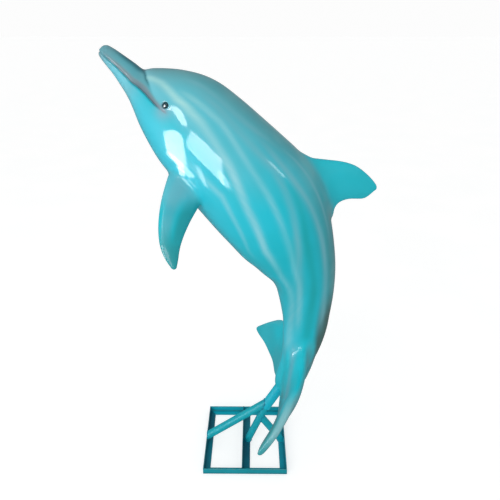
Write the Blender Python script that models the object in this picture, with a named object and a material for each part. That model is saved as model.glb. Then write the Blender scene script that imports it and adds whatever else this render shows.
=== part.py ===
"""Leaping dolphin statue, one fibreglass casting held up by a welded steel stand.

The dolphin is a loft through named sections along its body, with fins lofted in the same way
and joined to it. A post runs up inside the tail. Three struts carry the post on a square frame
of angle iron that lies on the floor. +Z is up, the animal's nose points to -X, its left side
faces -Y, and the origin is on the floor under the middle of the frame.
"""
import math

import bmesh
import bpy
from mathutils import Matrix, Vector

# Driving dimensions in metres

STATUE_HEIGHT = 1.420           # floor to the top of the beak
FRAME_WIDTH = 0.305             # outside, left to right
FRAME_DEPTH = 0.305             # outside, front to rear
ANGLE_LEG = 0.025               # the four outer bars
ANGLE_THICKNESS = 0.003
MIDDLE_LEG = 0.030              # the bar down the middle
MIDDLE_BAR_OFFSET = 0.003       # its centre line, from the frame's
POST_DIAMETER = 0.038
SOCKET_DEPTH = 0.080            # how far the post runs up inside the tail
JUNCTION_HEIGHT = 0.180         # where the middle strut meets the foot of the post
LEFT_STRUT_DIAMETER = 0.030
STRUT_DIAMETER = 0.027
LEFT_STRUT_RISE = 0.026         # from that junction up to where the left strut meets the post
LEFT_FOOT_HEIGHT = 0.024        # the left strut's axis on the upright flange
RIGHT_STRUT_DROP = 0.050        # from the junction down to where the right strut branches off
RIGHT_FOOT_INSET = 0.012        # the right strut's axis on the flange, from the outer face
MIDDLE_FOOT_OFFSET = 0.008      # the middle strut's axis on the flange, from the centre
EYE_DIAMETER = 0.016
EYE_SINK = 0.0035               # the eyeball's centre, in from the skin
MOUTH_GROOVE = 0.006            # width of the line between the jaws
GAP = 0.0003                    # left between pieces that touch

# The figure's pose and proportions, on a grid of its own that puts the top of the beak at 997

UNIT = STATUE_HEIGHT / 997

# Sections from the beak to the tail: back x and z, belly x and z, half width, height of the
# widest line as a share from belly to back, and fullness, where 2 is an ellipse
BODY_SECTIONS = (
    (-260, 992, -265, 982, 7, 0.45, 2.0),      # end of the beak
    (-250, 997, -261, 974, 16, 0.42, 2.1),
    (-237, 991, -252, 962, 20, 0.40, 2.2),
    (-217, 977, -241, 947, 23, 0.42, 2.2),
    (-200, 965, -232, 932, 26, 0.43, 2.2),
    (-185, 955, -224, 918, 30, 0.44, 2.2),     # crease between beak and forehead
    (-168, 957, -217, 905, 40, 0.44, 2.2),
    (-145, 957, -209, 889, 52, 0.44, 2.2),
    (-112, 954, -198, 857, 66, 0.45, 2.1),     # eyes
    (-75, 945, -184, 821, 77, 0.47, 2.1),
    (-40, 928, -166, 786, 86, 0.48, 2.1),
    (-2, 900, -136, 744, 94, 0.49, 2.1),       # chest
    (35, 869, -103, 697, 100, 0.50, 2.1),
    (77, 833, -67, 651, 104, 0.50, 2.1),       # greatest girth
    (118, 795, -31, 609, 104, 0.50, 2.1),
    (152, 748, -3, 577, 101, 0.50, 2.1),
    (175, 693, 20, 556, 94, 0.50, 2.1),
    (190, 632, 41, 538, 84, 0.50, 2.1),
    (200, 570, 60, 520, 73, 0.50, 2.05),
    (204, 514, 73, 497, 62, 0.50, 2.0),
    (203, 461, 81, 466, 52, 0.50, 1.95),
    (198, 411, 88, 431, 43, 0.50, 1.9),
    (189, 359, 93, 389, 35, 0.50, 1.9),
    (177, 308, 95, 338, 29, 0.50, 1.9),
    (165, 257, 92, 285, 25, 0.50, 1.9),
    (146, 208, 77, 229, 21, 0.50, 2.0),
    (116, 190, 77, 203, 17, 0.50, 2.0),
    (103, 184, 80, 192, 11, 0.50, 2.0),        # end of the tail, around the post
)

# Fins from root to tip: front edge x, y, z, rear edge x, y, z, and thickness
DORSAL_FIN = (
    (104, 0, 789, 156, 0, 674, 60),
    (120, 0, 795, 184, 0, 665, 42),
    (137, 0, 790, 190, 0, 682, 31),
    (154, 0, 788, 197, 0, 694, 26),
    (173, 0, 785, 209, 0, 701, 22),
    (191, 0, 782, 222, 0, 704, 19),
    (210, 0, 777, 236, 0, 704, 16),
    (228, 0, 769, 249, 0, 705, 14),
    (246, 0, 756, 259, 0, 711, 11),
    (262, 0, 741, 268, 0, 720, 8),
    (273, 0, 730, 274, 0, 725, 4),
)
LEFT_FLIPPER = (
    (-138, -35, 784, -74, -35, 729, 42),
    (-142, -66, 772, -83, -66, 718, 33),
    (-146, -84, 756, -91, -84, 707, 26),
    (-151, -100, 735, -101, -100, 692, 21),
    (-155, -115, 709, -109, -115, 677, 17),
    (-156, -128, 684, -115, -128, 663, 14),
    (-153, -139, 659, -119, -139, 648, 11),
    (-145, -146, 637, -121, -146, 633, 9),
    (-134, -151, 620, -124, -151, 621, 5),
)
# Half of the tail flukes, from the middle to the tip of the left one
LEFT_FLUKE = (
    (140, 0, 365, 97, 0, 190, 50),
    (136, -42, 338, 92, -42, 172, 40),
    (129, -81, 319, 86, -81, 163, 33),
    (116, -120, 304, 82, -120, 176, 27),
    (104, -147, 294, 71, -147, 189, 23),
    (90, -174, 280, 59, -174, 200, 20),
    (70, -201, 254, 45, -201, 208, 17),
    (53, -216, 233, 36, -216, 210, 15),
    (37, -226, 215, 32, -226, 210, 12),
)

# A fin's outline across its chord, from its front edge to its rear edge
FIN_CROWDING = 1.12             # more than 1 draws its points towards the front edge
FIN_FRONT = 1.18                # thickness at the front edge, as a share of the table's
FIN_TAPER = 0.42                # and how much of that share is gone at the rear edge

POST_ENTRY = (91, 196)          # where the post's axis leaves the tail, x and z
POST_SLOPE = math.radians(61.6)

# Turns a section drawn flat so that its first axis is Y, its second is up and it runs along X
SECTION_UPRIGHT = Matrix(((0, 0, 1), (1, 0, 0), (0, 1, 0)))

# The mouth line and the eye, as places in BODY_SECTIONS and angles down from the back
MOUTH_START, MOUTH_END = 1.0, 8.6
MOUTH_ANGLES = (89, 83, 82, 86, 90)
EYE_PLACE = 8.5
EYE_ANGLE = 80

# Fineness of the faceted solids

BODY_STEPS, BODY_SIDES = 2, 28
FIN_STEPS, FIN_SIDES = 2, 16
ROUND_SIDES = 32
EYE_SIDES, EYE_RINGS = 16, 10
MOUTH_STEPS, GROOVE_SIDES = 26, 6
SMOOTH_UP_TO = math.radians(40)
TOLERANCE = 1e-6                # for cuts at a plane and for welding caps

TEAL_PAINT = (0.05, 0.45, 0.50, 1.0)
STEEL_PAINT = (0.02, 0.27, 0.32, 1.0)


def start_clean():
    """Remove what the opened file holds and make the two collections."""
    for old in list(bpy.data.objects):
        bpy.data.objects.remove(old)
    made = []
    for name in ("dolphin_statue", "cutters"):
        group = bpy.data.collections.get(name) or bpy.data.collections.new(name)
        if group.name not in bpy.context.scene.collection.children:
            bpy.context.scene.collection.children.link(group)
        made.append(group)
    return made


def paint(name, colour, roughness, metallic=0.0):
    material = bpy.data.materials.new(name)
    material.use_nodes = True
    shader = material.node_tree.nodes["Principled BSDF"]
    shader.inputs["Base Color"].default_value = colour
    shader.inputs["Roughness"].default_value = roughness
    shader.inputs["Metallic"].default_value = metallic
    return material


def add_object(name, mesh, group, material=None):
    made = bpy.data.objects.new(name, mesh)
    group.objects.link(made)
    if material:
        made.data.materials.append(material)
    return made


def as_cutter(made):
    made.hide_render = True
    made.display_type = "WIRE"
    return made


def last_primitive(name, group):
    """Name the primitive that was just added and move it to its collection."""
    made = bpy.context.active_object
    made.name = made.data.name = name
    for old in list(made.users_collection):
        old.objects.unlink(made)
    group.objects.link(made)
    bpy.context.view_layer.update()
    return made


def boolean(target, other, operation):
    cut = target.modifiers.new(operation.lower() + " " + other.name, "BOOLEAN")
    cut.object = other
    cut.operation = operation
    cut.solver = "EXACT"


def shade(made):
    made.data.shade_smooth()
    made.data.set_sharp_from_angle(angle=SMOOTH_UP_TO)


# Lofts

def row_at(rows, place):
    """The row at a place along the table, on a smooth curve through its rows."""
    last = len(rows) - 1
    start = min(int(place), last - 1)
    s = place - start
    here, there = rows[start], rows[start + 1]
    before = rows[max(start - 1, 0)]
    after = rows[min(start + 2, last)]
    share = (2 * s ** 3 - 3 * s ** 2 + 1, s ** 3 - 2 * s ** 2 + s,
             -2 * s ** 3 + 3 * s ** 2, s ** 3 - s ** 2)
    values = []
    for a, b, c, d in zip(before, here, there, after):
        slope_here = (c - a) / (2 if start > 0 else 1)
        slope_there = (d - b) / (2 if start + 2 <= last else 1)
        values.append(share[0] * b + share[1] * slope_here + share[2] * c + share[3] * slope_there)
    return values


def places(rows, steps):
    count = (len(rows) - 1) * steps
    return [i / steps for i in range(count + 1)]


def body_point(place, angle):
    """A point on the skin: angle 0 is the back, 90 the left flank and 180 the belly."""
    back_x, back_z, belly_x, belly_z, width, level, fullness = row_at(BODY_SECTIONS, place)
    back, belly = Vector((back_x, 0, back_z)), Vector((belly_x, 0, belly_z))
    middle = belly.lerp(back, level)
    up, side = math.cos(angle), math.sin(angle)
    reach = abs(up) ** (2 / fullness)
    towards = (back if up > 0 else belly) - middle
    point = middle + towards * reach
    point.y = -math.copysign(width * abs(side) ** (2 / fullness), side)
    return point * UNIT


def wing_ring(section, span):
    """A rounded blade between a front edge and a rear edge, thickest ahead of its middle."""
    front, rear = Vector(section[:3]), Vector(section[3:6])
    chord = rear - front
    across = chord.cross(span).normalized()
    ring = []
    for i in range(FIN_SIDES):
        turn = 2 * math.pi * i / FIN_SIDES
        along = ((1 - math.cos(turn)) / 2) ** FIN_CROWDING
        half = section[6] / 2 * math.sin(turn) * (FIN_FRONT - FIN_TAPER * along)
        ring.append((front + chord * along + across * half) * UNIT)
    return ring


def middle_of(section):
    return (Vector(section[:3]) + Vector(section[3:6])) / 2


def wing_rings(rows):
    sections = [row_at(rows, place) for place in places(rows, FIN_STEPS)]
    rings = []
    for i, section in enumerate(sections):
        ahead = sections[min(i + 1, len(sections) - 1)]
        behind = sections[max(i - 1, 0)]
        rings.append(wing_ring(section, middle_of(ahead) - middle_of(behind)))
    return rings


def loft(name, rings, group, material=None):
    """Skin a row of rings with the same number of points and close both ends."""
    mesh = bpy.data.meshes.new(name)
    form = bmesh.new()
    rows = [[form.verts.new(point) for point in ring] for ring in rings]
    count = len(rows[0])
    for near, far in zip(rows[:-1], rows[1:]):
        for i in range(count):
            after = (i + 1) % count
            form.faces.new((near[i], near[after], far[after], far[i]))
    form.faces.new(rows[0])
    form.faces.new(rows[-1])
    bmesh.ops.recalc_face_normals(form, faces=form.faces)
    form.to_mesh(mesh)
    form.free()
    return add_object(name, mesh, group, material)


def mirrored(rows):
    """The same table on the other side of the animal."""
    return [(r[0], -r[1], r[2], r[3], -r[4], r[5], r[6]) for r in rows]


# Bars

def round_bar(name, start, end, diameter, group, material=None):
    """A cylinder whose flat ends are centred on start and end."""
    axis = end - start
    bpy.ops.mesh.primitive_cylinder_add(vertices=ROUND_SIDES, radius=diameter / 2,
                                        depth=axis.length, location=(start + end) / 2,
                                        rotation=axis.to_track_quat("Z", "Y").to_euler())
    bar = last_primitive(name, group)
    if material:
        bar.data.materials.append(material)
    return bar


def angle_bar(name, leg, length, spot, turn, group, material):
    """An L section lying along X, turned about Z: its upright flange is on the outer side."""
    outline = ((0, 0), (leg, 0), (leg, ANGLE_THICKNESS), (ANGLE_THICKNESS, ANGLE_THICKNESS),
               (ANGLE_THICKNESS, leg), (0, leg))
    curve = bpy.data.curves.new(name + " outline", "CURVE")
    curve.dimensions = "2D"
    curve.fill_mode = "BOTH"
    curve.extrude = length / 2
    spline = curve.splines.new("POLY")
    spline.points.add(len(outline) - 1)
    for point, place in zip(spline.points, outline):
        point.co = (*place, 0, 1)
    spline.use_cyclic_u = True
    drawn = add_object(name + " outline", curve, group)
    drawn.location = spot
    drawn.rotation_euler = (Matrix.Rotation(turn, 3, "Z") @ SECTION_UPRIGHT).to_euler()
    bpy.context.view_layer.update()
    seen = bpy.context.evaluated_depsgraph_get()
    mesh = bpy.data.meshes.new_from_object(drawn.evaluated_get(seen))
    mesh.name = name
    form = bmesh.new()
    form.from_mesh(mesh)
    bmesh.ops.remove_doubles(form, verts=form.verts, dist=TOLERANCE)
    bmesh.ops.recalc_face_normals(form, faces=form.faces)
    form.to_mesh(mesh)
    form.free()
    bar = add_object(name, mesh, group, material)
    bar.matrix_world = drawn.matrix_world
    bpy.data.objects.remove(drawn)
    bpy.context.view_layer.update()
    return bar


def trim(bar, point, normal):
    """Cut a bar off flat at a plane and drop the side that the normal points to."""
    to_bar = bar.matrix_world.inverted()
    form = bmesh.new()
    form.from_mesh(bar.data)
    everything = form.verts[:] + form.edges[:] + form.faces[:]
    cut = bmesh.ops.bisect_plane(form, geom=everything, dist=TOLERANCE, plane_co=to_bar @ point,
                                 plane_no=to_bar.to_3x3() @ normal, clear_outer=True)
    rim = [e for e in cut["geom_cut"] if isinstance(e, bmesh.types.BMEdge)]
    bmesh.ops.holes_fill(form, edges=rim, sides=0)
    bmesh.ops.recalc_face_normals(form, faces=form.faces)
    form.to_mesh(bar.data)
    form.free()


# The dolphin

def mouth_angle(share):
    """Angle of the mouth line, read from its list by the share of its length."""
    place = share * (len(MOUTH_ANGLES) - 1)
    start = min(int(place), len(MOUTH_ANGLES) - 2)
    return MOUTH_ANGLES[start] + (MOUTH_ANGLES[start + 1] - MOUTH_ANGLES[start]) * (place - start)


def groove_cutter(side, group):
    """A thin round bead that follows the mouth line on one side of the head."""
    route = []
    for i in range(MOUTH_STEPS + 1):
        share = i / MOUTH_STEPS
        place = MOUTH_START + (MOUTH_END - MOUTH_START) * share
        route.append(body_point(place, side * math.radians(mouth_angle(share))))
    rings = []
    for i, point in enumerate(route):
        along = (route[min(i + 1, MOUTH_STEPS)] - route[max(i - 1, 0)]).normalized()
        out = Vector((0, -side, 0))
        across = along.cross(out).normalized()
        out = across.cross(along)
        ring = []
        for k in range(GROOVE_SIDES):
            turn = 2 * math.pi * k / GROOVE_SIDES
            ring.append(point + (across * math.cos(turn) + out * math.sin(turn)) * MOUTH_GROOVE / 2)
        rings.append(ring)
    return as_cutter(loft("mouth cutter %+d" % side, rings, group))


def eye_ball(side, group):
    place = body_point(EYE_PLACE, side * math.radians(EYE_ANGLE))
    inset = Vector((0, side, 0)) * EYE_SINK
    bpy.ops.mesh.primitive_uv_sphere_add(segments=EYE_SIDES, ring_count=EYE_RINGS,
                                         radius=EYE_DIAMETER / 2, location=place + inset)
    return as_cutter(last_primitive("eye ball %+d" % side, group))


def make_dolphin(group, cutters, post_axis):
    skin = paint("fibreglass paint", TEAL_PAINT, 0.2)
    rings = []
    for place in places(BODY_SECTIONS, BODY_STEPS):
        rings.append([body_point(place, 2 * math.pi * k / BODY_SIDES) for k in range(BODY_SIDES)])
    dolphin = loft("dolphin", rings, group, skin)
    flukes = list(reversed(mirrored(LEFT_FLUKE[1:]))) + list(LEFT_FLUKE)
    fins = {"dorsal fin": DORSAL_FIN, "left flipper": LEFT_FLIPPER,
            "right flipper": mirrored(LEFT_FLIPPER), "flukes": flukes}
    for name, rows in fins.items():
        boolean(dolphin, as_cutter(loft(name, wing_rings(rows), cutters)), "UNION")
    for side in (1, -1):
        boolean(dolphin, groove_cutter(side, cutters), "DIFFERENCE")
        boolean(dolphin, eye_ball(side, cutters), "UNION")
    low, entry, top = post_axis
    reach = (top - entry).normalized() * GAP
    socket = round_bar("post socket", low, top + reach, POST_DIAMETER + 2 * GAP, cutters)
    boolean(dolphin, as_cutter(socket), "DIFFERENCE")
    shade(dolphin)
    return dolphin


# The stand

def post_points():
    """The post's axis: its foot at the junction, where it leaves the tail, and its top."""
    entry = Vector((POST_ENTRY[0], 0, POST_ENTRY[1])) * UNIT
    along = Vector((math.cos(POST_SLOPE), 0, math.sin(POST_SLOPE)))
    foot = entry - along * (entry.z - JUNCTION_HEIGHT) / along.z
    return foot, entry, entry + along * SOCKET_DEPTH


def make_frame(group, cutters):
    steel = paint("steel paint", STEEL_PAINT, 0.35)
    half_width, half_depth = FRAME_WIDTH / 2, FRAME_DEPTH / 2
    sides = {
        "base_angle_front": (FRAME_WIDTH, Vector((0, -half_depth, 0)), 0.0),
        "base_angle_right": (FRAME_DEPTH, Vector((half_width, 0, 0)), math.pi / 2),
        "base_angle_rear": (FRAME_WIDTH, Vector((0, half_depth, 0)), math.pi),
        "base_angle_left": (FRAME_DEPTH, Vector((-half_width, 0, 0)), -math.pi / 2),
    }
    for name, (length, spot, turn) in sides.items():
        bar = angle_bar(name, ANGLE_LEG, length, spot, turn, group, steel)
        to_side = Matrix.Rotation(turn, 3, "Z")
        for end in (1, -1):
            mitre = to_side @ Vector((end, 1, 0)).normalized()
            corner = spot + to_side @ Vector((end * length / 2, 0, 0))
            trim(bar, corner - mitre * GAP / 2, mitre)
    make_middle_bar(group, cutters, steel)


def make_middle_bar(group, cutters, steel):
    """The bar from front to rear, notched over the floor flanges that it meets."""
    length = FRAME_DEPTH - 2 * (ANGLE_THICKNESS + GAP)
    spot = Vector((MIDDLE_BAR_OFFSET - MIDDLE_LEG / 2, 0, 0))
    bar = angle_bar("base_angle_middle", MIDDLE_LEG, length, spot, -math.pi / 2, group, steel)
    for side in (1, -1):
        bpy.ops.mesh.primitive_cube_add(size=1, location=(0, side * FRAME_DEPTH / 2, 0))
        notch = last_primitive("notch %+d" % side, cutters)
        notch.scale = (FRAME_WIDTH / 2, (ANGLE_LEG + GAP) * 2, (ANGLE_THICKNESS + GAP) * 2)
        boolean(bar, as_cutter(notch), "DIFFERENCE")


def make_post_and_struts(group, cutters, post_axis):
    steel = paint("strut paint", TEAL_PAINT, 0.3)
    foot, _, top = post_axis
    along = (top - foot).normalized()
    floor = ANGLE_THICKNESS + GAP
    inner = FRAME_WIDTH / 2 - ANGLE_THICKNESS - GAP
    round_bar("tail_post", foot, top, POST_DIAMETER, group, steel)
    post_room = as_cutter(round_bar("post room", foot - along * GAP, top,
                                    POST_DIAMETER + 2 * GAP, cutters))

    middle_foot = Vector((MIDDLE_FOOT_OFFSET, 0, ANGLE_THICKNESS))
    middle_lean = (foot - middle_foot).normalized()
    middle_ends = (middle_foot - middle_lean * STRUT_DIAMETER, foot + middle_lean * STRUT_DIAMETER)
    middle = round_bar("support_rod_middle", *middle_ends, STRUT_DIAMETER, group, steel)
    trim(middle, Vector((0, 0, floor)), Vector((0, 0, -1)))
    boolean(middle, post_room, "DIFFERENCE")
    middle_room = as_cutter(round_bar("middle strut room", *middle_ends,
                                      STRUT_DIAMETER + 2 * GAP, cutters))

    left_foot = Vector((-inner - GAP, 0, LEFT_FOOT_HEIGHT))
    left_top = foot + along * LEFT_STRUT_RISE / along.z
    left_lean = (left_top - left_foot).normalized()
    left = round_bar("support_rod_left", left_foot - left_lean * LEFT_STRUT_DIAMETER, left_top,
                     LEFT_STRUT_DIAMETER, group, steel)
    trim(left, Vector((-inner, 0, 0)), Vector((-1, 0, 0)))
    trim(left, Vector((0, 0, floor)), Vector((0, 0, -1)))
    boolean(left, post_room, "DIFFERENCE")
    boolean(left, middle_room, "DIFFERENCE")

    right_foot = Vector((FRAME_WIDTH / 2 - RIGHT_FOOT_INSET, 0, ANGLE_THICKNESS))
    right_top = foot - middle_lean * RIGHT_STRUT_DROP / middle_lean.z
    right_lean = (right_top - right_foot).normalized()
    right = round_bar("support_rod_right", right_foot - right_lean * STRUT_DIAMETER, right_top,
                      STRUT_DIAMETER, group, steel)
    trim(right, Vector((inner, 0, 0)), Vector((1, 0, 0)))
    trim(right, Vector((0, 0, floor)), Vector((0, 0, -1)))
    boolean(right, middle_room, "DIFFERENCE")
    for bar in (left, middle, right, group.objects["tail_post"]):
        shade(bar)


def main():
    group, cutters = start_clean()
    post_axis = post_points()
    make_dolphin(group, cutters, post_axis)
    make_frame(group, cutters)
    make_post_and_struts(group, cutters, post_axis)


main()
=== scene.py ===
"""Leaping dolphin statue: the finish of the casting and of its stand, built around the solids."""
import math

import bmesh
import bpy
import numpy as np
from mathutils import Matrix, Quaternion, Vector, noise
from mathutils.bvhtree import BVHTree
from mathutils.kdtree import KDTree


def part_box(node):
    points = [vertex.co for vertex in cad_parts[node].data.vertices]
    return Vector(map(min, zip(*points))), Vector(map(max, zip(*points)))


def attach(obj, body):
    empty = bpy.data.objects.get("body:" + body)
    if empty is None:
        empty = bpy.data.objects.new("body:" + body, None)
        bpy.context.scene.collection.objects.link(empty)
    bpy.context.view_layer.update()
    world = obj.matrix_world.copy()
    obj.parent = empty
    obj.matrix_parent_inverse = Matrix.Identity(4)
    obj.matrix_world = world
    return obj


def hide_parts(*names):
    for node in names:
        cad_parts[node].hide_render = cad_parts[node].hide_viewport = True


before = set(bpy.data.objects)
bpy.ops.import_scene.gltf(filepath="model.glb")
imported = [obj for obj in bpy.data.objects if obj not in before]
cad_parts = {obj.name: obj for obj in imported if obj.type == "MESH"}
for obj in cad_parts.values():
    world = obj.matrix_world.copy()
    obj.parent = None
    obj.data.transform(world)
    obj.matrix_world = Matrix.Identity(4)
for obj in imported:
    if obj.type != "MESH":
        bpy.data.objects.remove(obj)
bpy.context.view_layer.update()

# Sizes in metres, the same as the solids have

FRAME_WIDTH = 0.305
FRAME_DEPTH = 0.305
ANGLE_LEG = 0.025
ANGLE_THICKNESS = 0.003
MIDDLE_LEG = 0.030
MIDDLE_BAR_OFFSET = 0.003
POST_DIAMETER = 0.038
SOCKET_DEPTH = 0.080
JUNCTION_HEIGHT = 0.180
LEFT_STRUT_DIAMETER = 0.030
STRUT_DIAMETER = 0.027
LEFT_STRUT_RISE = 0.026
LEFT_FOOT_HEIGHT = 0.024
RIGHT_STRUT_DROP = 0.050
RIGHT_FOOT_INSET = 0.012
MIDDLE_FOOT_OFFSET = 0.008
BEAK_LEVEL = 997                 # the beak's height in the tables' units
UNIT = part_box("dolphin")[1].z / BEAK_LEVEL

# The casting's shape, in units. A closer look at the photo moved some edges off the solids'.
# Back x and z, belly x and z, half width, level of the widest line, fullness
BODY_SECTIONS = (
    (-260, 992, -265, 982, 7, 0.45, 2.0),
    (-250, 997, -261, 974, 16, 0.42, 2.1),
    (-237, 991, -252, 962, 20, 0.40, 2.2),
    (-217, 977, -241, 947, 23, 0.42, 2.2),
    (-200, 965, -232, 932, 26, 0.43, 2.2),
    (-185, 955, -224, 918, 30, 0.44, 2.2),
    (-168, 957, -217, 905, 40, 0.44, 2.2),
    (-145, 957, -210, 888, 52, 0.44, 2.2),
    (-112, 954, -200, 856, 66, 0.45, 2.1),
    (-75, 945, -185, 820.5, 77, 0.47, 2.1),
    (-40, 928, -166.5, 785.5, 86, 0.48, 2.1),
    (-2, 900, -136, 744, 94, 0.49, 2.1),
    (35, 869, -103, 697, 100, 0.50, 2.1),
    (77, 833, -67, 651, 104, 0.50, 2.1),
    (118, 795, -31.5, 608.5, 104, 0.50, 2.1),
    (152, 748, -3.7, 576, 101, 0.50, 2.1),
    (175, 693, 19.5, 555.5, 94, 0.50, 2.1),
    (190, 632, 39, 536.5, 84, 0.50, 2.1),
    (200, 570, 58, 518.5, 73, 0.50, 2.05),
    (204, 514, 71, 496, 62, 0.50, 2.0),
    (203, 461, 79.2, 465.5, 52, 0.50, 2.0),
    (198, 411, 86.5, 430.5, 43, 0.50, 2.0),
    (189, 359, 93, 389, 35, 0.50, 2.0),
    (177, 308, 95, 338, 29, 0.50, 2.0),
    (165, 257, 92, 285, 25, 0.50, 2.0),
    (146, 208, 77, 229, 21, 0.50, 2.0),
    (116, 190, 77, 203, 17, 0.50, 2.0),
    (103, 184, 80, 192, 11, 0.50, 2.0),
)

# Fins from root to tip: front edge x, y and z, rear edge x and z at the same y, and thickness
DORSAL_FIN = (
    (104, 0, 789, 156, 674, 60),
    (120, 0, 795, 184, 665, 42),
    (137, 0, 790, 190, 682, 31),
    (154, 0, 788, 197, 694, 26),
    (173, 0, 786, 209, 701, 22),
    (191, 0, 784, 222, 704, 19),
    (210, 0, 780, 236, 704, 16),
    (228, 0, 773, 249, 705, 14),
    (246, 0, 760.5, 259, 711, 11),
    (262, 0, 746, 268, 720, 8),
    (273, 0, 733, 274, 725, 4),
)
LEFT_FLIPPER = (
    (-138, -35, 784, -74, 729, 42),
    (-142, -66, 772, -83, 718, 33),
    (-147, -84, 756, -91, 707, 26),
    (-152.5, -100, 735, -101, 692, 21),
    (-156.5, -115, 709, -109, 677, 17),
    (-157.5, -128, 684, -115, 663, 14),
    (-154.5, -139, 659, -119, 648, 11),
    (-146, -146, 636, -121.5, 632, 9),
    (-132.5, -151.5, 615.5, -125, 616.5, 5),
)
LEFT_FLUKE = (
    (157, 0, 432, 97, 190, 50),
    (149, -22, 390, 95, 181, 45),
    (141, -42, 350, 90, 172, 41),
    (134, -81, 316, 82, 163, 34),
    (122, -120, 302, 76, 176, 28),
    (107.5, -147, 293, 65, 189, 24),
    (94, -174, 280, 53, 200, 20),
    (72.5, -201, 254, 38, 208, 17),
    (53, -216, 233, 32, 210, 15),
    (36, -226, 215, 30, 210, 12),
)
# Rows that carry the fins' roots on, deep inside the body
DORSAL_ROOT = (78, 0, 742, 118, 650, 56)
FLIPPER_ROOT = (-128, -5, 808, -70, 762, 40)
FIN_CROWDING = 1.12              # more than 1 draws a fin's points towards its front edge
FIN_FRONT = 1.18                 # thickness at the front edge, as a share of the table's
FIN_TAPER = 0.42                 # how much of that share is gone at the rear edge
# Metres over which the tables are evened out
BEAK_SPREAD, BODY_SPREAD, FIN_SPREAD = 0.005, 0.018, 0.006
POST_ENTRY = (91, 196)
POST_SLOPE = math.radians(61.6)

# Places are counted in rows of the body's table, and angles in degrees from its back
MOUTH_START, MOUTH_END = 0.12, 8.6
MOUTH_ANGLES = (90, 87, 84, 86, 88)
MOUTH_SAMPLES, NOSE_SAMPLES = 120, 15
CREASE_ANGLES = (0, 30, 58, 74, 86)
CREASE_PLACES = (5.0, 5.5, 6.35, 7.25, 8.1)
CREASE_SAMPLES = 60
EYE_PLACE, EYE_ANGLE = 8.5, 80
HEAD_END = 10.5

# Relief on the skin, in metres. A casting's surface also has waves of three sizes.
MOUTH_DEPTH, MOUTH_WIDTH = 0.0030, 0.0019
UPPER_LIP, LOWER_LIP = 0.0010, 0.0002
LIP_FROM_MOUTH, LIP_WIDTH = 0.0055, 0.0035
FOREHEAD_SWELL, BEAK_SWELL, SWELL_WIDTH = 0.0030, 0.0022, 0.024
CREASE_DEPTH, CREASE_WIDTH = 0.0010, 0.0055
EYELID_RISE, EYELID_RADIUS, EYELID_WIDTH = 0.0007, 0.0105, 0.0022
SOCKET_FALL, SOCKET_FLOOR, SOCKET_RIM = 0.0028, 0.0062, 0.0092
CASTING_WAVE = 0.00065
CASTING_WAVES = ((1, 7.0), (0.55, 19.0), (0.10, 52.0))       # their shares and fineness
FLUKES_BELOW = 0.62              # height under which a fin is a fluke

# Fineness

VOXEL = 0.0054
STEPS = 24                       # samples of a table between two of its rows
BODY_SIDES, FIN_SIDES = 240, 72
RING_PITCH = 0.0026
CAP_RINGS, CAP_END = 9, 0.02     # rings of a rounded end, and the share of its size that the last has
RIM_SHARE = 0.40                 # how soft the joins are at the fins' rims, against the rest
JOIN_REACH = 0.05                # how near a fin a point must be for the join to count


def step(low, high, value):
    """0 below low, 1 above high, and smooth between."""
    t = np.clip((value - low) / (high - low), 0, 1)
    return t * t * (3 - 2 * t)


def fade(low, high, value):
    """1 below low, 0 above high, and smooth between."""
    return 1 - step(low, high, value)


def bell(value, width):
    """1 at 0, falling off smoothly on both sides."""
    return np.exp(-(value / width) ** 2)


def dots(a, b):
    """Dot products, row by row."""
    return np.einsum("ij,ij->i", a, b)


def units(rows):
    """Rows scaled to a length of 1."""
    return rows / np.linalg.norm(rows, axis=1, keepdims=True)


def gaps(points, spot):
    return np.linalg.norm(points - spot, axis=1)


# Lofts, sampled finely

def sampled(rows):
    """A table on a smooth curve through its rows, with the place of each sample."""
    rows = np.array(rows, float)
    last = len(rows) - 1
    place = np.linspace(0, last, last * STEPS + 1)
    start = np.minimum(place.astype(int), last - 1)
    s = (place - start)[:, None]
    slope = np.gradient(rows, axis=0)
    values = ((2 * s ** 3 - 3 * s ** 2 + 1) * rows[start] + (s ** 3 - 2 * s ** 2 + s) * slope[start]
              + (3 * s ** 2 - 2 * s ** 3) * rows[start + 1] + (s ** 3 - s ** 2) * slope[start + 1])
    return place, values


def looked_up(where, spots, values):
    """Rows of a table at places between its samples."""
    return np.stack([np.interp(where, spots, column) for column in values.T], -1)


def distances(points):
    """How far each point of a line is from its start, along the line."""
    return np.concatenate([[0], np.cumsum(gaps(points[1:], points[:-1]))])


def evened(values, along, spread):
    """Take the small unevenness out of a sampled table without pulling its bends in."""
    room = np.minimum(along - along[0], along[-1] - along)
    reach = np.minimum(spread, room / 2) + 1e-6
    weight = np.exp(-((along[:, None] - along[None, :]) / reach[:, None]) ** 2 / 2)
    weight *= np.gradient(along)[None, :]
    weight /= weight.sum(1, keepdims=True)
    once = weight @ values
    return once + weight @ (values - once)


def ring_spots(along, caps):
    """Distances of the rings, closing up at both ends, and how far each is drawn in there."""
    total = along[-1]
    turn = np.linspace(0, math.pi / 2, CAP_RINGS)
    near = along[0] + caps[0] * (1 - np.cos(turn))
    far = (total - caps[1] * (1 - np.cos(turn)))[::-1]
    spots = np.concatenate([near, np.arange(caps[0] + RING_PITCH, total - caps[1], RING_PITCH), far])
    drawn = np.sqrt(1 - (1 - np.clip(spots / caps[0], 0, 1)) ** 2)
    drawn *= np.sqrt(1 - (1 - np.clip((total - spots) / caps[1], 0, 1)) ** 2)
    return spots, np.maximum(drawn, CAP_END)


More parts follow.
